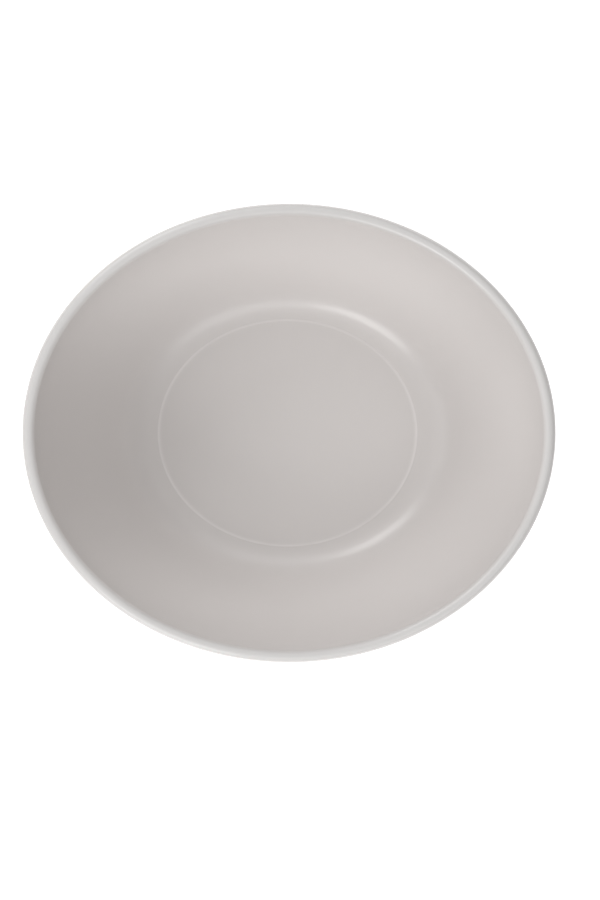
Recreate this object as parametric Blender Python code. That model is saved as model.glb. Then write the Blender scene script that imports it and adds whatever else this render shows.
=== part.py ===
"""Oval serving bowl, pressed and fired as one body of stoneware.

The body is a loft of level ovals. They start at the middle of the underside,
go round the foot ring, up the outer face of the wall, over the lip, down the
inner face and end at the middle of the floor. The ovals are unlike: the ones
at the floor are rounder than the ones at the lip. Every oval is the wall's
middle line with an equal distance added all round, so that the wall and the
lip are equally thick on the long and the short sides.

Metres, +Z up. The origin is the centre of the plane that the foot stands on,
and X runs along the bowl's long side.
"""

import math
from typing import NamedTuple

import bmesh
import bpy

COLLECTION_NAME = "oval_serving_bowl"
BOWL_NAME = "bowl"

# Driving dimensions
RIM_LENGTH = 0.2400  # over the lip, along X
RIM_WIDTH = 0.2064  # over the lip, along Y
PAD_LENGTH = 0.1251  # the raised middle of the floor, along X
PAD_WIDTH = 0.1097  # the raised middle of the floor, along Y
INNER_DEPTH = 0.0900  # from the lip's crest down to the pad
FLOOR_THICKNESS = 0.0050
LIP_THICKNESS = 0.0054
WALL_THICKNESS = 0.0046  # at the floor, growing to the lip's thickness
CORNER_RADIUS = 0.0240  # inside, between the floor and the wall
WALL_START_SLOPE = math.radians(50.0)  # slope of the wall above that corner
PAD_STEP_HEIGHT = 0.00015  # how far the floor drops at the pad's edge
PAD_STEP_WIDTH = 0.0014

# Foot ring, measured out from the pad's edge
FOOT_HEIGHT = 0.0035  # depth of the recess inside the ring
FOOT_FACE_HALF_WIDTH = 0.0015  # half of the flat that the bowl stands on
FOOT_EDGE_RADIUS = 0.0007
FOOT_SIDE_HALF_WIDTH = 0.0027
FOOT_SIDE_HEIGHT = 0.0018  # where the ring's sides turn into its blends
FOOT_INNER_BLEND = 0.0020  # width of the blend inside the ring
FOOT_OUTER_JOIN_SLOPE = math.radians(12.0)  # where the wall leaves the ring

# Mesh resolution
SEGMENTS = 64
CORNER_STEPS = 6
WALL_STEPS = 4
LIP_QUARTER_STEPS = 4
BLEND_STEPS = 3
PAD_EDGE_STEPS = 3

# Finish
GLAZE_COLOUR = (0.66, 0.63, 0.61, 1.0)
GLAZE_ROUGHNESS = 0.32
SHARP_ANGLE = math.radians(40.0)

# Derived sizes
LIP_RADIUS = LIP_THICKNESS / 2
PAD_HALF_LONG = PAD_LENGTH / 2
PAD_HALF_SHORT = PAD_WIDTH / 2
LIP_HALF_LONG = RIM_LENGTH / 2 - LIP_RADIUS
LIP_HALF_SHORT = RIM_WIDTH / 2 - LIP_RADIUS
RUN = LIP_HALF_LONG - PAD_HALF_LONG
PAD_HEIGHT = FOOT_HEIGHT + FLOOR_THICKNESS
FLOOR_EDGE_HEIGHT = PAD_HEIGHT - PAD_STEP_HEIGHT
LIP_CENTRE_HEIGHT = PAD_HEIGHT + INNER_DEPTH - LIP_RADIUS


class Oval(NamedTuple):
    """One level oval of the loft."""

    reach: float  # 0 at the pad's edge, 1 at the lip's middle line
    out: float  # extra distance outwards, equal all round
    height: float


class MiddlePoint(NamedTuple):
    """A point of the wall's middle line, in the long section."""

    run: float  # distance out from the pad's edge
    height: float
    slope: float


def steps(start, end, count):
    """Return count + 1 values spread evenly from start to end."""
    return [start + (end - start) * i / count for i in range(count + 1)]


def quadratic(start, control, end, count):
    """Return count + 1 (out, height) points along a quadratic curve."""
    points = []
    for t in steps(0.0, 1.0, count):
        weights = ((1 - t) ** 2, 2 * t * (1 - t), t**2)
        out = sum(w * p[0] for w, p in zip(weights, (start, control, end)))
        height = sum(w * p[1] for w, p in zip(weights, (start, control, end)))
        points.append((out, height))
    return points


def corner_middle(slope):
    """Return the middle line's point in the corner, where it has this slope."""
    radius = CORNER_RADIUS + LIP_RADIUS
    run = PAD_STEP_WIDTH + radius * math.sin(slope)
    height = FLOOR_EDGE_HEIGHT + CORNER_RADIUS - radius * math.cos(slope)
    return MiddlePoint(run, height, slope)


def wall_middle():
    """Return the middle line of the wall: an arc from the corner to the lip.

    The arc leaves the corner at the corner's own slope and ends at the centre
    of the lip's round, which fixes its radius and its slope at the top.
    """
    foot = corner_middle(WALL_START_SLOPE)
    rise = LIP_CENTRE_HEIGHT - foot.height
    chord_slope = math.atan2(rise, RUN - foot.run)
    chord = math.hypot(rise, RUN - foot.run)
    end_slope = 2 * chord_slope - WALL_START_SLOPE
    radius = chord / (2 * math.sin(chord_slope - WALL_START_SLOPE))
    centre_run = foot.run - radius * math.sin(foot.slope)
    centre_height = foot.height + radius * math.cos(foot.slope)
    points = []
    for slope in steps(WALL_START_SLOPE, end_slope, WALL_STEPS):
        run = centre_run + radius * math.sin(slope)
        height = centre_height - radius * math.cos(slope)
        points.append(MiddlePoint(run, height, slope))
    return points


def beside_middle(point, distance):
    """Return the oval at this distance outside (or, if negative, inside) the middle line."""
    out = distance * math.sin(point.slope)
    height = point.height - distance * math.cos(point.slope)
    return Oval(point.run / RUN, out, height)


def outer_distance(point):
    """Return how far the outer face lies from the middle line."""
    share = min(max(point.run / RUN, 0.0), 1.0)
    thickness = WALL_THICKNESS + (LIP_THICKNESS - WALL_THICKNESS) * share
    return thickness - LIP_RADIUS


def foot_ovals():
    """Return the foot ring's ovals, from the recess out to where the wall leaves it."""
    join_point = corner_middle(FOOT_OUTER_JOIN_SLOPE)
    join = beside_middle(join_point, outer_distance(join_point))
    join_out = join.reach * RUN + join.out
    side = FOOT_SIDE_HALF_WIDTH
    blend_drop = (join_out - side) * math.tan(FOOT_OUTER_JOIN_SLOPE)
    edge = FOOT_FACE_HALF_WIDTH + FOOT_EDGE_RADIUS

    inner_blend = quadratic(
        (-side - FOOT_INNER_BLEND, FOOT_HEIGHT),
        (-side, FOOT_HEIGHT),
        (-side, FOOT_SIDE_HEIGHT),
        BLEND_STEPS,
    )
    inner_edge = [(-edge, FOOT_EDGE_RADIUS), (-FOOT_FACE_HALF_WIDTH, 0.0)]
    outer_edge = [(FOOT_FACE_HALF_WIDTH, 0.0), (edge, FOOT_EDGE_RADIUS)]
    outer_blend = quadratic(
        (side, FOOT_SIDE_HEIGHT),
        (side, join.height - blend_drop),
        (join_out, join.height),
        BLEND_STEPS,
    )
    outline = inner_blend + inner_edge + outer_edge + outer_blend[:-1]
    return [Oval(0.0, out, height) for out, height in outline] + [join]


def lip_ovals(wall_slope):
    """Return the round of the lip, from its outer face over the crest to its inner face."""
    outer_end = wall_slope - math.pi / 2
    crest = math.pi / 2
    inner_end = wall_slope + math.pi / 2
    angles = steps(outer_end, 0.0, 1)[1:]
    angles += steps(0.0, crest, LIP_QUARTER_STEPS)[1:]
    angles += steps(crest, inner_end, LIP_QUARTER_STEPS)[1:-1]
    ovals = []
    for angle in angles:
        height = LIP_CENTRE_HEIGHT + LIP_RADIUS * math.sin(angle)
        ovals.append(Oval(1.0, LIP_RADIUS * math.cos(angle), height))
    return ovals


def pad_edge_ovals():
    """Return the soft step up from the corner to the pad, ending at the pad's edge."""
    ovals = []
    for share in steps(0.0, 1.0, PAD_EDGE_STEPS)[1:]:
        rise = share * share * (3 - 2 * share)
        out = PAD_STEP_WIDTH * (1 - share)
        ovals.append(Oval(0.0, out, FLOOR_EDGE_HEIGHT + PAD_STEP_HEIGHT * rise))
    return ovals


def bowl_ovals():
    """Return every oval of the bowl in order, from the underside to the floor."""
    wall = wall_middle()
    corner_outside = [
        corner_middle(slope)
        for slope in steps(FOOT_OUTER_JOIN_SLOPE, WALL_START_SLOPE, CORNER_STEPS)
    ]
    corner_inside = [
        corner_middle(slope) for slope in steps(WALL_START_SLOPE, 0.0, CORNER_STEPS)
    ]
    ovals = foot_ovals()
    for point in corner_outside[1:] + wall[1:]:
        ovals.append(beside_middle(point, outer_distance(point)))
    ovals += lip_ovals(wall[-1].slope)
    for point in wall[:0:-1] + corner_inside:
        ovals.append(beside_middle(point, -LIP_RADIUS))
    return ovals + pad_edge_ovals()


def add_oval(bm, oval):
    """Add one oval's vertices to the mesh and return them in order."""
    half_long = PAD_HALF_LONG + oval.reach * (LIP_HALF_LONG - PAD_HALF_LONG) + oval.out
    half_short = PAD_HALF_SHORT + oval.reach * (LIP_HALF_SHORT - PAD_HALF_SHORT) + oval.out
    ring = []
    for i in range(SEGMENTS):
        angle = 2 * math.pi * i / SEGMENTS
        place = (half_long * math.cos(angle), half_short * math.sin(angle), oval.height)
        ring.append(bm.verts.new(place))
    return ring


def bridge(bm, lower, upper):
    """Join two ovals with a band of four-sided faces."""
    for i in range(SEGMENTS):
        j = (i + 1) % SEGMENTS
        bm.faces.new((lower[i], lower[j], upper[j], upper[i]))


def close_with_centre(bm, ring, height):
    """Fill an oval with triangles that meet at a centre point on the bowl's axis."""
    centre = bm.verts.new((0.0, 0.0, height))
    for i in range(SEGMENTS):
        bm.faces.new((ring[i], ring[(i + 1) % SEGMENTS], centre))


def build_bowl_mesh():
    """Loft the ovals into one closed mesh."""
    bm = bmesh.new()
    rings = [add_oval(bm, oval) for oval in bowl_ovals()]
    for lower, upper in zip(rings, rings[1:]):
        bridge(bm, lower, upper)
    close_with_centre(bm, rings[0], FOOT_HEIGHT)
    close_with_centre(bm, rings[-1], PAD_HEIGHT)
    bmesh.ops.recalc_face_normals(bm, faces=bm.faces)
    mesh = bpy.data.meshes.new(BOWL_NAME)
    bm.to_mesh(mesh)
    bm.free()
    mesh.shade_smooth()
    mesh.set_sharp_from_angle(angle=SHARP_ANGLE)
    return mesh


def glaze_material():
    """Make the off-white satin glaze."""
    material = bpy.data.materials.new("satin_glaze")
    material.use_nodes = True
    shader = material.node_tree.nodes["Principled BSDF"]
    shader.inputs["Base Color"].default_value = GLAZE_COLOUR
    shader.inputs["Roughness"].default_value = GLAZE_ROUGHNESS
    shader.inputs["Metallic"].default_value = 0.0
    return material


def clear_scene():
    """Remove the objects that the file opened with."""
    for obj in list(bpy.data.objects):
        bpy.data.objects.remove(obj, do_unlink=True)


def main():
    """Build the bowl in a collection of its own."""
    clear_scene()
    collection = bpy.data.collections.new(COLLECTION_NAME)
    bpy.context.scene.collection.children.link(collection)
    bowl = bpy.data.objects.new(BOWL_NAME, build_bowl_mesh())
    bowl.data.materials.append(glaze_material())
    collection.objects.link(bowl)


main()
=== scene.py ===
"""Oval serving bowl in satin off-white stoneware.

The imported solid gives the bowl's length, width and height. This script lofts
the fine surface inside that box, glazes it, leaves the foot's resting face as
bare clay, and sets up a pale table, soft studio light and the camera.
Everything is in metres, +Z up, with the origin under the middle of the foot.
"""

from __future__ import annotations

import logging
import math
from dataclasses import dataclass
from enum import Enum
from typing import Iterable, Sequence

import bmesh
import bpy
from mathutils import Matrix, Vector, noise

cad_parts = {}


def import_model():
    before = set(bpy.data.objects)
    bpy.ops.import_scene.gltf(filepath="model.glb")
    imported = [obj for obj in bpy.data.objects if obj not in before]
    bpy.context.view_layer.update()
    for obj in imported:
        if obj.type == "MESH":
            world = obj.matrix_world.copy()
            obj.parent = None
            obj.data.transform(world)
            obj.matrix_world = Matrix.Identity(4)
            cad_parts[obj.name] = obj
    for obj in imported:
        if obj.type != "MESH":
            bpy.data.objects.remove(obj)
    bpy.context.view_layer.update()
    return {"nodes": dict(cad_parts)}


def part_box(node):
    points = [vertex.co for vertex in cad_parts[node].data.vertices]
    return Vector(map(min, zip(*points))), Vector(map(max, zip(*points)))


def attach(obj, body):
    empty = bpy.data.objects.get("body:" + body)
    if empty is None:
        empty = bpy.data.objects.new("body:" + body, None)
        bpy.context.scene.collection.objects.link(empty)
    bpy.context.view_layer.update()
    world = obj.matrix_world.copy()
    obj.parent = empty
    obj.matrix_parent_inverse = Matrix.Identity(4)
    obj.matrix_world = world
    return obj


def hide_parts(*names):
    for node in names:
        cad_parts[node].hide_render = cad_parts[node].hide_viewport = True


LOG = logging.getLogger("serving_bowl")
THIN_AND_HIGHLIGHT_ATTRIBUTE = "glaze_thin"
CREST_SHADE_ATTRIBUTE = "lip_crest_shade"

Colour = tuple[float, float, float, float]


class Cover(Enum):
    """What covers a band of the bowl. The value is its material's place on the mesh."""

    GLAZE = 0
    BARE_CLAY = 1


# ---------------------------------------------------------------------------
# Shader building blocks
# ---------------------------------------------------------------------------


class NodeBench:
    """Adds nodes to one node tree and links their sockets."""

    def __init__(self, tree: bpy.types.NodeTree) -> None:
        """Keep the tree that the nodes go into.

        Args:
            tree: A material's or a group's node tree.
        """
        self.tree = tree

    def add(self, kind: str, **settings: object) -> bpy.types.Node:
        """Add a node and set its properties.

        Args:
            kind: The node's type name, without the ShaderNode prefix.
            **settings: Properties of the node and their values.

        Returns:
            The new node.
        """
        node = self.tree.nodes.new(kind if kind.startswith("Node") else "ShaderNode" + kind)
        for name, value in settings.items():
            setattr(node, name, value)
        return node

    def feed(self, node: bpy.types.Node, **inputs: object) -> bpy.types.Node:
        """Give a node's inputs a linked socket or a plain value.

        Args:
            node: The node to feed.
            **inputs: Input names, with underscores for spaces, and their sources.

        Returns:
            The same node.
        """
        for name, source in inputs.items():
            socket = node.inputs[name.replace("_", " ")]
            if isinstance(source, bpy.types.NodeSocket):
                self.tree.links.new(source, socket)
            else:
                socket.default_value = source
        return node

    def math(self, operation: str, *operands: object) -> bpy.types.NodeSocket:
        """Add a Math node.

        Args:
            operation: The node's operation.
            *operands: Sockets or numbers, in the node's own order.

        Returns:
            The node's output socket.
        """
        node = self.add("Math", operation=operation)
        for place, source in enumerate(operands):
            if isinstance(source, bpy.types.NodeSocket):
                self.tree.links.new(source, node.inputs[place])
            else:
                node.inputs[place].default_value = source
        return node.outputs[0]

    def remap(
        self,
        value: bpy.types.NodeSocket,
        old: tuple[float, float],
        new: tuple[float, float],
        smooth: bool = False,
    ) -> bpy.types.NodeSocket:
        """Map a value from one range to another, clamped at both ends.

        Args:
            value: The socket to read.
            old: The range that the value comes in.
            new: The range that it goes out in.
            smooth: Whether the step between the ends is eased.

        Returns:
            The remapped value's socket.
        """
        node = self.add("MapRange", interpolation_type="SMOOTHSTEP" if smooth else "LINEAR")
        self.feed(node, Value=value, From_Min=old[0], From_Max=old[1], To_Min=new[0], To_Max=new[1])
        return node.outputs["Result"]

    def blend(
        self,
        share: object,
        first: bpy.types.NodeSocket | Colour,
        second: bpy.types.NodeSocket | Colour,
    ) -> bpy.types.NodeSocket:
        """Mix two colours.

        Args:
            share: The second colour's share, as a socket or a number.
            first: The colour at share 0.
            second: The colour at share 1.

        Returns:
            The mixed colour's socket.
        """
        node = self.add("Mix", data_type="RGBA")
        colour_inputs = [socket for socket in node.inputs if socket.type == "RGBA"]
        for socket, source in zip((node.inputs["Factor"], *colour_inputs), (share, first, second)):
            if isinstance(source, bpy.types.NodeSocket):
                self.tree.links.new(source, socket)
            else:
                socket.default_value = source
        return next(socket for socket in node.outputs if socket.type == "RGBA")


class EffectGroup:
    """A shader node group that several materials share."""

    def __init__(
        self, name: str, inputs: Sequence[tuple[str, str, float]], outputs: Sequence[str]
    ) -> None:
        """Make the group's tree with its named sockets.

        Args:
            name: The group's name.
            inputs: Each input's name, socket type and default value.
            outputs: The names of the value outputs.
        """
        self.tree = bpy.data.node_groups.new(name, "ShaderNodeTree")
        for socket_name, kind, default in inputs:
            socket = self.tree.interface.new_socket(socket_name, in_out="INPUT", socket_type=kind)
            if kind == "NodeSocketFloat":
                socket.default_value = default
        for socket_name in outputs:
            self.tree.interface.new_socket(socket_name, in_out="OUTPUT", socket_type="NodeSocketFloat")
        self.bench = NodeBench(self.tree)
        self.entry = self.bench.add("NodeGroupInput")
        self.exit = self.bench.add("NodeGroupOutput")

    def place(self, bench: NodeBench, **inputs: object) -> bpy.types.Node:
        """Put the group into a material.

        Args:
            bench: The material's node bench.
            **inputs: The values or sockets for this use of the group.

        Returns:
            The group node.
        """
        node = bench.add("Group")
        node.node_tree = self.tree
        return bench.feed(node, **inputs)


class Effects:
    """The effects that the finishes share: drifting tone, surface grain and pinholes."""

    drift_detail: float = 1.5
    drift_range: tuple[float, float] = (0.2, 0.8)  # the part of the noise's range that is used
    coarse_detail: float = 1.0
    fine_detail: float = 2.0
    fine_ratio: float = 3.1  # how many times smaller the fine grain is than the coarse
    fine_share: float = 0.3
    pore_fade: float = 0.6  # share of a pore's radius at which its edge starts to fade

    def __init__(self) -> None:
        """Build each group once."""
        self.drift = self._build_drift()
        self.grain = self._build_grain()
        self.pinholes = self._build_pinholes()

    def _build_drift(self) -> EffectGroup:
        """Build a slow, cloudy variation of tone.

        Returns:
            A group whose Mask drifts between 0 and 1 over the given size.
        """
        vector, size = ("Position", "NodeSocketVector", 0.0), ("Size", "NodeSocketFloat", 0.03)
        group = EffectGroup("tone_drift", (vector, size), ("Mask",))
        bench, entry = group.bench, group.entry
        scale = bench.math("DIVIDE", 1.0, entry.outputs["Size"])
        clouds = bench.add("TexNoise", noise_dimensions="3D")
        bench.feed(clouds, Vector=entry.outputs["Position"], Scale=scale, Detail=self.drift_detail)
        mask = bench.remap(clouds.outputs["Fac"], self.drift_range, (0.0, 1.0))
        bench.feed(group.exit, Mask=mask)
        return group

    def _build_grain(self) -> EffectGroup:
        """Build a fine, even grain made of two noises of unlike size.

        Returns:
            A group whose Height lies between 0 and 1.
        """
        vector, size = ("Position", "NodeSocketVector", 0.0), ("Size", "NodeSocketFloat", 0.001)
        group = EffectGroup("surface_grain", (vector, size), ("Height",))
        bench, entry = group.bench, group.entry
        scale = bench.math("DIVIDE", 1.0, entry.outputs["Size"])
        coarse = bench.add("TexNoise", noise_dimensions="3D")
        bench.feed(coarse, Vector=entry.outputs["Position"], Scale=scale, Detail=self.coarse_detail)
        fine_scale = bench.math("MULTIPLY", scale, self.fine_ratio)
        fine = bench.add("TexNoise", noise_dimensions="3D")
        bench.feed(fine, Vector=entry.outputs["Position"], Scale=fine_scale, Detail=self.fine_detail)
        fine_part = bench.math("MULTIPLY", fine.outputs["Fac"], self.fine_share)
        coarse_share = 1 - self.fine_share
        height = bench.math("MULTIPLY_ADD", coarse.outputs["Fac"], coarse_share, fine_part)
        bench.feed(group.exit, Height=height)
        return group

    def _build_pinholes(self) -> EffectGroup:
        """Build sparse round pores, of which only a share of the cells holds one.

        Returns:
            A group whose Mask is 1 inside a pore and 0 elsewhere.
        """
        inputs = (
            ("Position", "NodeSocketVector", 0.0),
            ("Spacing", "NodeSocketFloat", 0.006),
            ("Radius", "NodeSocketFloat", 0.0002),
            ("Share", "NodeSocketFloat", 0.2),
        )
        group = EffectGroup("pinholes", inputs, ("Mask",))
        bench, entry = group.bench, group.entry
        scale = bench.math("DIVIDE", 1.0, entry.outputs["Spacing"])
        cells = bench.add("TexVoronoi", voronoi_dimensions="3D", feature="F1")
        bench.feed(cells, Vector=entry.outputs["Position"], Scale=scale)
        distance = bench.math("MULTIPLY", cells.outputs["Distance"], entry.outputs["Spacing"])
        relative = bench.math("DIVIDE", distance, entry.outputs["Radius"])
        inside = bench.remap(relative, (self.pore_fade, 1.0), (1.0, 0.0), smooth=True)
        lottery = bench.add("SeparateColor")
        bench.feed(lottery, Color=cells.outputs["Color"])
        chosen = bench.math("LESS_THAN", lottery.outputs["Red"], entry.outputs["Share"])
        bench.feed(group.exit, Mask=bench.math("MULTIPLY", inside, chosen))
        return group


def new_material(name: str) -> tuple[bpy.types.Material, NodeBench, bpy.types.Node]:
    """Make a node material.

    Args:
        name: The material's name.

    Returns:
        The material, a bench for its tree and its Principled shader.
    """
    material = bpy.data.materials.new(name)
    material.use_nodes = True
    return material, NodeBench(material.node_tree), material.node_tree.nodes["Principled BSDF"]


# ---------------------------------------------------------------------------
# Finishes
# ---------------------------------------------------------------------------


@dataclass(frozen=True)
class SatinGlaze:
    """A satin off-white glaze, lighter where it thins by the foot, with a highlight painted as a lighter
    fine line on the floor's step and shade painted as a greyer tone on the lip.
    """

    name: str = "satin_glaze"
    thick: Colour = (0.640, 0.612, 0.598, 1.0)
    # Partly painted highlight: this lighter tone marks where the glaze thins by the foot, and paints a
    # bright fine line over the floor's step.
    thin: Colour = (0.730, 0.702, 0.690, 1.0)
    # Painted shade: the lip's crest is greyed with this tone, darkening the lip as if less light fell on
    # it.
    crest: Colour = (0.540, 0.528, 0.520, 1.0)
    drift_darkening: float = 0.985  # the tone in the darkest parts of the drift
    pore_tone: Colour = (0.50, 0.46, 0.43, 1.0)
    roughness: float = 0.24
    roughness_spread: float = 0.015
    refraction: float = 1.50
    drift_size: float = 0.06
    ripple_size: float = 0.0016
    ripple_height: float = 0.0000045
    pore_spacing: float = 0.007
    pore_radius: float = 0.00016
    pore_share: float = 0.22
    pore_depth: float = 0.00003

    def build(self, effects: Effects) -> bpy.types.Material:
        """Build the glaze's material.

        Args:
            effects: The shared node groups.

        Returns:
            The material.
        """
        material, bench, shader = new_material(self.name)
        place = bench.add("TexCoord").outputs["Object"]
        drift = effects.drift.place(bench, Position=place, Size=self.drift_size).outputs["Mask"]
        ripple = effects.grain.place(bench, Position=place, Size=self.ripple_size).outputs["Height"]
        pores = effects.pinholes.place(
            bench,
            Position=place,
            Spacing=self.pore_spacing,
            Radius=self.pore_radius,
            Share=self.pore_share,
        ).outputs["Mask"]
        thinness = bench.add("Attribute", attribute_name=THIN_AND_HIGHLIGHT_ATTRIBUTE).outputs["Fac"]
        crest = bench.add("Attribute", attribute_name=CREST_SHADE_ATTRIBUTE).outputs["Fac"]

        shaded = tuple(part * self.drift_darkening for part in self.thick[:3]) + (1.0,)
        clouded = bench.blend(drift, shaded, self.thick)
        # Painted highlight: the lighter tone draws the bright fine line on the floor's step, and the
        # glaze's thinning by the foot.
        thinned_and_highlit = bench.blend(thinness, clouded, self.thin)
        # Painted shade: the lip's crest is blended towards the greyer crest tone.
        crest_shaded = bench.blend(crest, thinned_and_highlit, self.crest)
        colour = bench.blend(pores, crest_shaded, self.pore_tone)

        spread = (self.roughness - self.roughness_spread, self.roughness + self.roughness_spread)
        roughness = bench.remap(drift, (0.0, 1.0), spread)
        ripple_bump = bench.add("Bump")
        bench.feed(ripple_bump, Height=ripple, Distance=self.ripple_height)
        pore_bump = bench.add("Bump", invert=True)
        bench.feed(pore_bump, Height=pores, Distance=self.pore_depth, Normal=ripple_bump.outputs["Normal"])
        bench.feed(
            shader,
            Base_Color=colour,
            Roughness=roughness,
            IOR=self.refraction,
            Normal=pore_bump.outputs["Normal"],
        )
        return material


@dataclass(frozen=True)
class BareStoneware:
    """Unglazed, wiped stoneware, as left on the face that stood in the kiln."""

    name: str = "bare_stoneware"
    light: Colour = (0.58, 0.50, 0.42, 1.0)
    dark: Colour = (0.44, 0.37, 0.30, 1.0)
    speck: Colour = (0.22, 0.17, 0.13, 1.0)
    roughness: float = 0.82
    drift_size: float = 0.012
    grain_size: float = 0.0007
    grain_height: float = 0.00004
    speck_spacing: float = 0.0022
    speck_radius: float = 0.00022
    speck_share: float = 0.25

    def build(self, effects: Effects) -> bpy.types.Material:
        """Build the bare clay's material.

        Args:
            effects: The shared node groups.

        Returns:
            The material.
        """
        material, bench, shader = new_material(self.name)
        place = bench.add("TexCoord").outputs["Object"]
        drift = effects.drift.place(bench, Position=place, Size=self.drift_size).outputs["Mask"]
        grain = effects.grain.place(bench, Position=place, Size=self.grain_size).outputs["Height"]
        specks = effects.pinholes.place(
            bench,
            Position=place,
            Spacing=self.speck_spacing,
            Radius=self.speck_radius,
            Share=self.speck_share,
        ).outputs["Mask"]
        tone = bench.blend(bench.math("MULTIPLY", drift, grain), self.dark, self.light)
        bump = bench.add("Bump")
        bench.feed(bump, Height=grain, Distance=self.grain_height)
        bench.feed(
            shader,
            Base_Color=bench.blend(specks, tone, self.speck),
            Roughness=self.roughness,
            Normal=bump.outputs["Normal"],
        )
        return material


@dataclass(frozen=True)
class PaleTable:
    """The matt white table top. It glows a little, so that shadows on it stay faint."""

    name: str = "pale_table"
    light: Colour = (0.80, 0.80, 0.80, 1.0)
    dark: Colour = (0.785, 0.785, 0.785, 1.0)
    roughness: float = 0.9
    drift_size: float = 0.25
    glow: float = 0.40

    def build(self, effects: Effects) -> bpy.types.Material:
        """Build the table's material.

        Args:
            effects: The shared node groups.

        Returns:
            The material.
        """
        material, bench, shader = new_material(self.name)
        place = bench.add("TexCoord").outputs["Object"]
        drift = effects.drift.place(bench, Position=place, Size=self.drift_size).outputs["Mask"]
        bench.feed(
            shader,
            Base_Color=bench.blend(drift, self.dark, self.light),
            Roughness=self.roughness,
            Emission_Color=(1.0, 1.0, 1.0, 1.0),
            Emission_Strength=self.glow,
        )
        return material


# ---------------------------------------------------------------------------
# The bowl's section
# ---------------------------------------------------------------------------


@dataclass(frozen=True)
class Oval:
    """One level oval of the loft, how the glaze lies on it, and where the painted highlight and painted
    shade fall on it.
    """

    half_long: float
    half_short: float
    height: float
    thin: float = 0.0  # 0 where the glaze has its full thickness, 1 where it is nearly gone by the foot; on the floor's step it places a painted highlight
    crest: float = 0.0  # 1 on the lip's crest, where shade is painted as a greyer tone
    sway: float = 0.0  # share of the hand-made unevenness that this oval takes
    cover: Cover = Cover.GLAZE  # what covers the band from this oval to the next


@dataclass(frozen=True)
class MiddlePoint:
    """A point of the wall's middle line in the long section."""

    run: float  # distance out from the pad's edge
    height: float
    slope: float


def spread(start: float, end: float, count: int) -> list[float]:
    """Spread values evenly.

    Args:
        start: The first value.
        end: The last value.
        count: The number of steps between them.

    Returns:
        The count + 1 values.
    """
    return [start + (end - start) * i / count for i in range(count + 1)]


def ease(share: float) -> float:
    """Return the smooth step of a share between 0 and 1."""
    return share * share * (3 - 2 * share)


def quadratic(points: Sequence[tuple[float, float]], count: int) -> list[tuple[float, float]]:
    """Follow a quadratic curve.

    Args:
        points: Its start, its control point and its end.
        count: The number of steps along it.

    Returns:
        The count + 1 points along it.
    """
    curve = []
    for t in spread(0.0, 1.0, count):
        weights = ((1 - t) ** 2, 2 * t * (1 - t), t**2)
        first = sum(w * p[0] for w, p in zip(weights, points))
        second = sum(w * p[1] for w, p in zip(weights, points))
        curve.append((first, second))
    return curve


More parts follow.
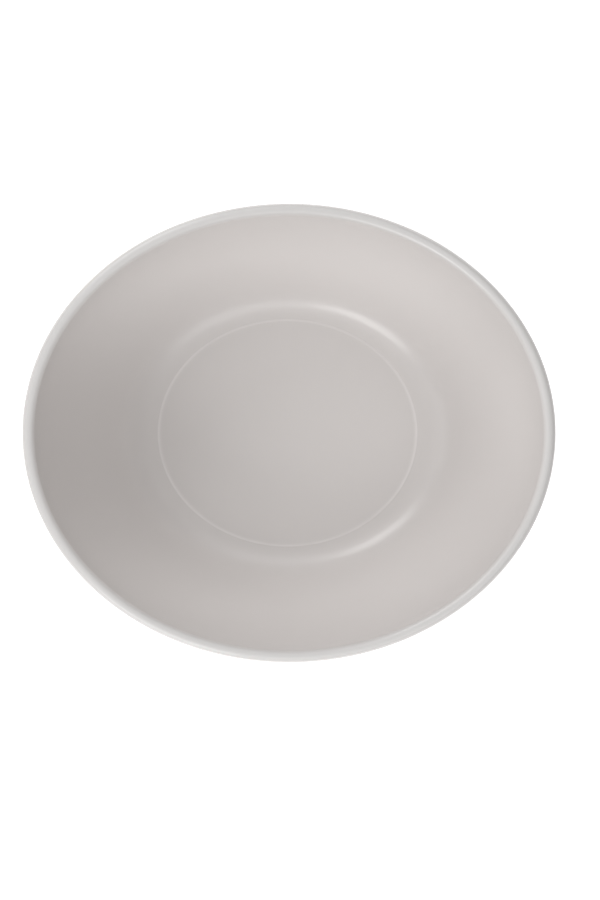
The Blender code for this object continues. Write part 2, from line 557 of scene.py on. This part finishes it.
@dataclass(frozen=True)
class BowlSection:
    """The bowl's sizes, and the ovals that follow from them."""

    rim_length: float
    rim_width: float
    total_height: float
    pad_length: float = 0.1251
    pad_width: float = 0.1097
    foot_height: float = 0.0035
    floor_thickness: float = 0.0050
    lip_thickness: float = 0.0054
    wall_thickness: float = 0.0046
    corner_radius: float = 0.0240
    wall_start_slope: float = math.radians(50.0)
    pad_step_height: float = 0.00015
    pad_step_width: float = 0.0014
    pad_line_half_width: float = 0.0008  # half width of the highlight painted as a lighter fine line over the step
    foot_face_half_width: float = 0.0015
    foot_edge_radius: float = 0.0007
    foot_side_half_width: float = 0.0027
    foot_side_height: float = 0.0018
    foot_inner_blend: float = 0.0020
    foot_join_slope: float = math.radians(12.0)
    glaze_bead: float = 0.00012  # the glaze's rolled edge beside the bare face
    bead_place: float = 0.72  # share of the foot edge's curve at which the bead is highest
    bead_spread: float = 0.1
    crest_spread: float = 1.2  # how far the painted shade reaches round the lip from its crest, in radians
    corner_steps: int = 26
    wall_steps: int = 44
    lip_quarter_steps: int = 12
    lip_outer_steps: int = 4  # from the wall's outer face up to the lip's widest place
    blend_steps: int = 10
    pad_edge_steps: int = 10
    flat_steps: int = 26
    softening_passes: int = 12

    @property
    def lip_radius(self) -> float:
        """Return the radius of the lip's round."""
        return self.lip_thickness / 2

    @property
    def run(self) -> float:
        """Return the distance from the pad's edge to the lip's middle line, along X."""
        return (self.rim_length - self.pad_length) / 2 - self.lip_radius

    @property
    def pad_height(self) -> float:
        """Return the height of the floor's raised pad."""
        return self.foot_height + self.floor_thickness

    @property
    def lip_centre_height(self) -> float:
        """Return the height of the centre of the lip's round."""
        return self.total_height - self.lip_radius

    def oval(self, reach: float, out: float, height: float, **finish: object) -> Oval:
        """Make an oval between the pad's edge and the lip.

        Args:
            reach: 0 at the pad's edge, 1 at the lip's middle line.
            out: Extra distance outwards, equal all round.
            height: The oval's height.
            **finish: The oval's thin, crest, sway and cover.

        Returns:
            The oval.
        """
        pad_long, pad_short = self.pad_length / 2, self.pad_width / 2
        lip_long = self.rim_length / 2 - self.lip_radius
        lip_short = self.rim_width / 2 - self.lip_radius
        half_long = pad_long + reach * (lip_long - pad_long) + out
        half_short = pad_short + reach * (lip_short - pad_short) + out
        return Oval(half_long, half_short, height, **finish)

    def between(self, start: Oval, end: Oval, share: float, height: float, **finish: object) -> Oval:
        """Make an oval part of the way from one oval to another.

        Args:
            start: The oval at share 0.
            end: The oval at share 1.
            share: How far along the way it lies.
            height: Its height.
            **finish: The oval's thin, crest, sway and cover.

        Returns:
            The oval.
        """
        half_long = start.half_long + share * (end.half_long - start.half_long)
        half_short = start.half_short + share * (end.half_short - start.half_short)
        return Oval(half_long, half_short, height, **finish)

    def corner_point(self, slope: float) -> MiddlePoint:
        """Find the middle line's point in the corner.

        Args:
            slope: The middle line's slope at the point.

        Returns:
            The point.
        """
        radius = self.corner_radius + self.lip_radius
        base = self.pad_height - self.pad_step_height + self.corner_radius
        run = self.pad_step_width + radius * math.sin(slope)
        return MiddlePoint(run, base - radius * math.cos(slope), slope)

    def wall_arc(self) -> list[MiddlePoint]:
        """Find the wall's middle line, an arc from the corner to the lip's centre.

        Returns:
            The arc's points, from the bottom up.
        """
        foot = self.corner_point(self.wall_start_slope)
        rise = self.lip_centre_height - foot.height
        chord_slope = math.atan2(rise, self.run - foot.run)
        half_turn = chord_slope - foot.slope
        radius = math.hypot(rise, self.run - foot.run) / (2 * math.sin(half_turn))
        centre_run = foot.run - radius * math.sin(foot.slope)
        centre_height = foot.height + radius * math.cos(foot.slope)
        points = []
        for slope in spread(foot.slope, foot.slope + 2 * half_turn, self.wall_steps):
            run = centre_run + radius * math.sin(slope)
            points.append(MiddlePoint(run, centre_height - radius * math.cos(slope), slope))
        return points

    def soften(self, points: list[MiddlePoint]) -> list[MiddlePoint]:
        """Ease the change of curvature where the corner meets the wall.

        Args:
            points: The middle line from the floor up to the lip.

        Returns:
            The line with each point drawn towards its neighbours. Its ends stay.
        """
        for _ in range(self.softening_passes):
            inner = [
                MiddlePoint(
                    (a.run + 2 * b.run + c.run) / 4,
                    (a.height + 2 * b.height + c.height) / 4,
                    (a.slope + 2 * b.slope + c.slope) / 4,
                )
                for a, b, c in zip(points, points[1:], points[2:])
            ]
            points = [points[0], *inner, points[-1]]
        return points

    def middle_line(self) -> list[MiddlePoint]:
        """Return the wall's middle line from the floor's edge up to the lip's centre."""
        slopes = spread(0.0, self.wall_start_slope, self.corner_steps)
        corner = [self.corner_point(slope) for slope in slopes]
        return self.soften(corner + self.wall_arc()[1:])

    def beside(self, point: MiddlePoint, distance: float, **finish: object) -> Oval:
        """Make the oval beside a point of the middle line.

        Args:
            point: The middle line's point.
            distance: Distance to the outer side, or to the inner side if negative.
            **finish: The oval's thin, crest, sway and cover.

        Returns:
            The oval.
        """
        out = distance * math.sin(point.slope)
        height = point.height - distance * math.cos(point.slope)
        return self.oval(point.run / self.run, out, height, **finish)

    def outer_distance(self, point: MiddlePoint) -> float:
        """Return how far the outer face lies from the middle line at a point."""
        share = min(max(point.run / self.run, 0.0), 1.0)
        thickness = self.wall_thickness + (self.lip_thickness - self.wall_thickness) * share
        return thickness - self.lip_radius

    def underside(self) -> list[Oval]:
        """Return the recess inside the foot ring, from its middle outwards."""
        edge = -self.foot_side_half_width - self.foot_inner_blend
        rim = self.oval(0.0, edge, self.foot_height)
        ovals = []
        for share in spread(0.0, 1.0, self.flat_steps)[1:-1]:
            sway = ease(1 - share)
            size = (rim.half_long * share, rim.half_short * share)
            ovals.append(Oval(*size, self.foot_height, sway=sway))
        return ovals

    def foot(self, join: Oval, join_out: float) -> list[Oval]:
        """Make the foot ring, from the recess round to the outer face of the wall.

        Args:
            join: The wall's lowest outer oval.
            join_out: How far that oval lies outside the pad's edge.

        Returns:
            The ring's ovals, without the join itself.
        """
        side, face = self.foot_side_half_width, self.foot_face_half_width
        top, edge = self.foot_side_height, self.foot_edge_radius
        drop = (join_out - side) * math.tan(self.foot_join_slope)
        inner = [(-side - self.foot_inner_blend, self.foot_height), (-side, self.foot_height), (-side, top)]
        outer = [(side, top), (side, join.height - drop), (join_out, join.height)]
        ovals = [self.oval(0.0, *p) for p in quadratic(inner, self.blend_steps)]
        ovals += self.foot_edge(-1)
        for out in spread(-face, face, self.blend_steps)[:-1]:
            ovals.append(self.oval(0.0, out, 0.0, thin=1.0, cover=Cover.BARE_CLAY))
        ovals += reversed(self.foot_edge(1))
        start = self.oval(0.0, side, top)
        for out, height in quadratic(outer, self.blend_steps)[:-1]:
            share = (out - side) / (join_out - side)
            ovals.append(self.between(start, join, share, height))
        return ovals

    def foot_edge(self, side: int) -> list[Oval]:
        """Make one rounded lower edge of the foot ring, with the glaze's rolled end.

        Args:
            side: -1 for the edge inside the ring, 1 for the outer one.

        Returns:
            The ovals from the ring's side down to its bare face.
        """
        wide, face = self.foot_side_half_width, self.foot_face_half_width
        start = (side * wide, self.foot_side_height)
        control = (side * wide, 0.0)
        end = (side * face, 0.0)
        points = quadratic([start, control, end], self.blend_steps)[1:]
        ovals = []
        for place, (out, height) in enumerate(points):
            share = (place + 1) / len(points)
            from_bead = (share - self.bead_place) / self.bead_spread
            bead = self.glaze_bead * math.exp(-(from_bead**2))
            cover = Cover.GLAZE
            if side < 0 and place == len(points) - 1:
                cover = Cover.BARE_CLAY
            lowered = max(height - bead / 2, 0.0)
            ovals.append(self.oval(0.0, out + side * bead, lowered, thin=share**2, cover=cover))
        return ovals

    def lip(self, wall_slope: float) -> list[Oval]:
        """Make the round of the lip, from its outer face over the crest to its inner face.

        Args:
            wall_slope: The slope of the wall where it meets the lip.

        Returns:
            The lip's ovals.
        """
        quarter = self.lip_quarter_steps
        crest = math.pi / 2
        angles = spread(wall_slope - crest, 0.0, self.lip_outer_steps)[1:]
        angles += spread(0.0, crest, quarter)[1:]
        angles += spread(crest, wall_slope + crest, quarter)[1:-1]
        ovals = []
        for angle in angles:
            out = self.lip_radius * math.cos(angle)
            height = self.lip_centre_height + self.lip_radius * math.sin(angle)
            # Painted shade: the crest value greys the lip most at its top.
            from_crest = (angle - crest) / self.crest_spread
            ovals.append(self.oval(1.0, out, height, crest=math.exp(-(from_crest**2))))
        return ovals

    def pad_edge(self, wall_end: Oval) -> list[Oval]:
        """Make the soft step up to the floor's pad, and as much of the pad beside it.

        Args:
            wall_end: The wall's last oval, which the step starts from.

        Returns:
            The ovals, with a highlight painted as a lighter fine line over the step.
        """
        width = self.pad_step_width
        low = self.pad_height - self.pad_step_height
        edge = self.oval(0.0, 0.0, self.pad_height)
        ovals = []
        for out in spread(width, -width, 2 * self.pad_edge_steps)[1:]:
            rise = ease(min(1 - out / width, 1.0))
            # Painted highlight: a lighter fine line along the middle of the step.
            from_line = (out - width / 2) / self.pad_line_half_width
            thin = math.exp(-(from_line**2))
            height = low + self.pad_step_height * rise
            ovals.append(self.between(edge, wall_end, out / width, height, thin=thin))
        return ovals

    def pad(self) -> list[Oval]:
        """Return the floor's pad inside its edge, in towards the middle."""
        edge = self.oval(0.0, -self.pad_step_width, self.pad_height)
        ovals = []
        for share in spread(1.0, 0.0, self.flat_steps)[1:-1]:
            size = (edge.half_long * share, edge.half_short * share)
            ovals.append(Oval(*size, self.pad_height, sway=ease(1 - share)))
        return ovals

    def ovals(self) -> list[Oval]:
        """Return every oval in order, from the middle of the underside to the middle of the floor."""
        line = self.middle_line()
        outer = [point for point in line if point.slope > self.foot_join_slope]
        join = self.beside(outer[0], self.outer_distance(outer[0]))
        join_out = join.half_long - self.pad_length / 2
        ovals = self.underside() + self.foot(join, join_out) + [join]
        for point in outer[1:]:
            sway = self.wall_sway(point)
            ovals.append(self.beside(point, self.outer_distance(point), sway=sway))
        ovals += self.lip(line[-1].slope)
        for point in reversed(line):
            ovals.append(self.beside(point, -self.lip_radius, sway=self.wall_sway(point)))
        return ovals + self.pad_edge(ovals[-1]) + self.pad()

    def wall_sway(self, point: MiddlePoint) -> float:
        """Return how much unevenness the wall may have at a point: none at its two ends."""
        share = min(max(point.run / self.run, 0.0), 1.0)
        return math.sin(math.pi * share)


# ---------------------------------------------------------------------------
# The bowl
# ---------------------------------------------------------------------------


@dataclass
class ServingBowl:
    """The one-piece bowl: floor, wall, lip and foot ring in one clay body."""

    section: BowlSection
    glaze: SatinGlaze = SatinGlaze()
    clay: BareStoneware = BareStoneware()
    name: str = "serving_bowl"
    segments: int = 240
    sway_depth: float = 0.00006  # how far the pressed surface strays from its true form
    sway_size: float = 0.022

    def build(self, effects: Effects) -> bpy.types.Object:
        """Loft the bowl, dress it and put it in the scene.

        Args:
            effects: The shared node groups.

        Returns:
            The bowl's object.
        """
        ovals = self.section.ovals()
        mesh = self._loft(ovals)
        mesh.materials.append(self.glaze.build(effects))
        mesh.materials.append(self.clay.build(effects))
        bowl = bpy.data.objects.new(self.name, mesh)
        bpy.context.scene.collection.objects.link(bowl)
        return bowl

    def _loft(self, ovals: list[Oval]) -> bpy.types.Mesh:
        """Join the ovals into one closed mesh.

        Args:
            ovals: The ovals in order, from the underside to the floor.

        Returns:
            The mesh, with its two colour attributes, for the glaze's thinning with the step's painted
            highlight and for the lip's painted shade, and its material places set.
        """
        bm = bmesh.new()
        # Layers for the glaze's thinning with the step's painted highlight, and for the lip's painted
        # shade.
        thin = bm.verts.layers.float.new(THIN_AND_HIGHLIGHT_ATTRIBUTE)
        crest = bm.verts.layers.float.new(CREST_SHADE_ATTRIBUTE)
        sway = bm.verts.layers.float.new("sway")
        rings = []
        for oval in ovals:
            ring = self._ring(bm, oval)
            for vert in ring:
                vert[thin] = oval.thin
                vert[crest] = oval.crest
                vert[sway] = oval.sway
            rings.append(ring)
        for oval, lower, upper in zip(ovals, rings, rings[1:]):
            self._band(bm, lower, upper, oval.cover)
        self._close(bm, rings[0], ovals[0])
        self._close(bm, rings[-1], ovals[-1])
        bmesh.ops.recalc_face_normals(bm, faces=bm.faces)
        bm.normal_update()
        self._stray(bm, sway)
        bm.verts.layers.float.remove(sway)
        mesh = bpy.data.meshes.new(self.name)
        bm.to_mesh(mesh)
        bm.free()
        mesh.shade_smooth()
        return mesh

    def _ring(self, bm: bmesh.types.BMesh, oval: Oval) -> list[bmesh.types.BMVert]:
        """Add one oval's vertices.

        Args:
            bm: The mesh being made.
            oval: The oval.

        Returns:
            Its vertices in order.
        """
        ring = []
        for i in range(self.segments):
            angle = math.tau * i / self.segments
            x, y = oval.half_long * math.cos(angle), oval.half_short * math.sin(angle)
            ring.append(bm.verts.new((x, y, oval.height)))
        return ring

    def _band(
        self,
        bm: bmesh.types.BMesh,
        lower: list[bmesh.types.BMVert],
        upper: list[bmesh.types.BMVert],
        cover: Cover,
    ) -> None:
        """Join two ovals with a band of faces.

        Args:
            bm: The mesh being made.
            lower: The first oval's vertices.
            upper: The next oval's vertices.
            cover: What the band is covered with.
        """
        for i in range(self.segments):
            j = (i + 1) % self.segments
            face = bm.faces.new((lower[i], lower[j], upper[j], upper[i]))
            face.material_index = cover.value

    def _close(self, bm: bmesh.types.BMesh, ring: list[bmesh.types.BMVert], oval: Oval) -> None:
        """Fill an end oval with triangles that meet on the bowl's axis.

        Args:
            bm: The mesh being made.
            ring: The oval's vertices.
            oval: The oval itself.
        """
        centre = bm.verts.new((0.0, 0.0, oval.height))
        for i in range(self.segments):
            bm.faces.new((ring[i], ring[(i + 1) % self.segments], centre))

    def _stray(self, bm: bmesh.types.BMesh, sway: bmesh.types.BMLayerItem) -> None:
        """Let the pressed surface stray a little from its true form.

        Args:
            bm: The mesh being made.
            sway: The vertex layer that says how much each point may stray.
        """
        moves = []
        for vert in bm.verts:
            lift = noise.noise(vert.co / self.sway_size) * self.sway_depth * vert[sway]
            moves.append((vert, vert.normal * lift))
        for vert, move in moves:
            vert.co += move


# ---------------------------------------------------------------------------
# The studio
# ---------------------------------------------------------------------------


@dataclass(frozen=True)
class Softbox:
    """A square soft light that faces the middle of the bowl."""

    name: str
    azimuth: float  # direction to the light, in degrees from +X towards +Y
    elevation: float
    width: float
    power: float
    distance: float = 1.1

    def build(self, target: Vector) -> bpy.types.Object:
        """Put the light in the scene.

        Args:
            target: The point that it faces.

        Returns:
            The light's object.
        """
        level = math.cos(math.radians(self.elevation))
        azimuth = math.radians(self.azimuth)
        towards = Vector(
            (level * math.cos(azimuth), level * math.sin(azimuth), math.sin(math.radians(self.elevation)))
        )
        lamp = bpy.data.lights.new(self.name, "AREA")
        lamp.shape = "SQUARE"
        lamp.size = self.width
        lamp.energy = self.power
        light = bpy.data.objects.new(self.name, lamp)
        light.location = target + towards * self.distance
        light.rotation_euler = towards.to_track_quat("Z", "Y").to_euler()
        light.visible_camera = False
        bpy.context.scene.collection.objects.link(light)
        return light


@dataclass
class Studio:
    """The table, the light and the camera around the bowl."""

    softboxes: Iterable[Softbox] = (
        Softbox("front_left_softbox", azimuth=243.0, elevation=34.0, width=0.54, power=4.6),
        Softbox("back_left_softbox", azimuth=124.0, elevation=34.0, width=0.50, power=3.4),
        Softbox("left_panel", azimuth=180.0, elevation=38.0, width=0.80, power=1.4),
        Softbox("back_panel", azimuth=90.0, elevation=38.0, width=0.80, power=1.9),
        Softbox("front_panel", azimuth=290.0, elevation=38.0, width=0.80, power=2.5),
        Softbox("high_front_panel", azimuth=270.0, elevation=60.0, width=1.10, power=2.4),
        Softbox("high_back_panel", azimuth=90.0, elevation=60.0, width=1.10, power=1.8),
    )
    table: PaleTable = PaleTable()
    table_size: float = 6.0
    table_segments: int = 8
    sky: float = 0.34
    lens: float = 85.0
    sensor: float = 36.0
    camera_height: float = 0.954  # above the lip
    camera_place: tuple[float, float] = (-0.0099, 0.0021)
    camera_aim: tuple[float, float] = (0.0047, -0.0075)  # at the lip's height

    def build(self, low: Vector, high: Vector, effects: Effects) -> None:
        """Set up the table, the lights, the sky and the camera.

        Args:
            low: The lowest corner of the bowl's box.
            high: The highest corner of the bowl's box.
            effects: The shared node groups.
        """
        middle = (low + high) / 2
        self._add_table(low.z, effects)
        for softbox in self.softboxes:
            softbox.build(middle)
        self._add_sky()
        self._add_camera(Vector((middle.x, middle.y, high.z)))
        bpy.context.scene.view_settings.view_transform = "Standard"

    def _add_table(self, height: float, effects: Effects) -> None:
        """Add the table top under the bowl.

        Args:
            height: The height of its surface.
            effects: The shared node groups.
        """
        bm = bmesh.new()
        steps = self.table_segments
        bmesh.ops.create_grid(bm, x_segments=steps, y_segments=steps, size=self.table_size / 2)
        mesh = bpy.data.meshes.new("table_top")
        bm.to_mesh(mesh)
        bm.free()
        mesh.materials.append(self.table.build(effects))
        table = bpy.data.objects.new("table_top", mesh)
        table.location.z = height
        bpy.context.scene.collection.objects.link(table)

    def _add_sky(self) -> None:
        """Fill the room with even white light."""
        world = bpy.data.worlds.new("white_room")
        world.use_nodes = True
        background = world.node_tree.nodes["Background"]
        background.inputs["Color"].default_value = (1.0, 1.0, 1.0, 1.0)
        background.inputs["Strength"].default_value = self.sky
        bpy.context.scene.world = world

    def _add_camera(self, lip_middle: Vector) -> None:
        """Look down on the bowl from almost straight above.

        Args:
            lip_middle: The middle of the bowl's mouth, at the lip's height.
        """
        data = bpy.data.cameras.new("overhead_camera")
        data.lens = self.lens
        data.sensor_width = self.sensor
        camera = bpy.data.objects.new("overhead_camera", data)
        place = lip_middle + Vector((*self.camera_place, self.camera_height))
        backwards = (place - lip_middle - Vector((*self.camera_aim, 0.0))).normalized()
        right = Vector((0.0, 1.0, 0.0)).cross(backwards).normalized()
        axes = Matrix((right, backwards.cross(right), backwards)).transposed()
        camera.matrix_world = Matrix.Translation(place) @ axes.to_4x4()
        bpy.context.scene.collection.objects.link(camera)
        bpy.context.scene.camera = camera


def main() -> None:
    """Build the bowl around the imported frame, then the studio."""
    logging.basicConfig(level=logging.INFO, format="%(name)s: %(message)s")
    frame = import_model()
    LOG.info("frame loaded with nodes: %s", ", ".join(frame["nodes"]))

    effects = Effects()
    low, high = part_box("bowl")
    section = BowlSection(high.x - low.x, high.y - low.y, high.z - low.z)
    bowl = ServingBowl(section).build(effects)
    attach(bowl, "root")
    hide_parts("bowl")
    LOG.info("%s: %d faces", bowl.name, len(bowl.data.polygons))

    Studio().build(low, high, effects)


if __name__ == "__main__":
    main()
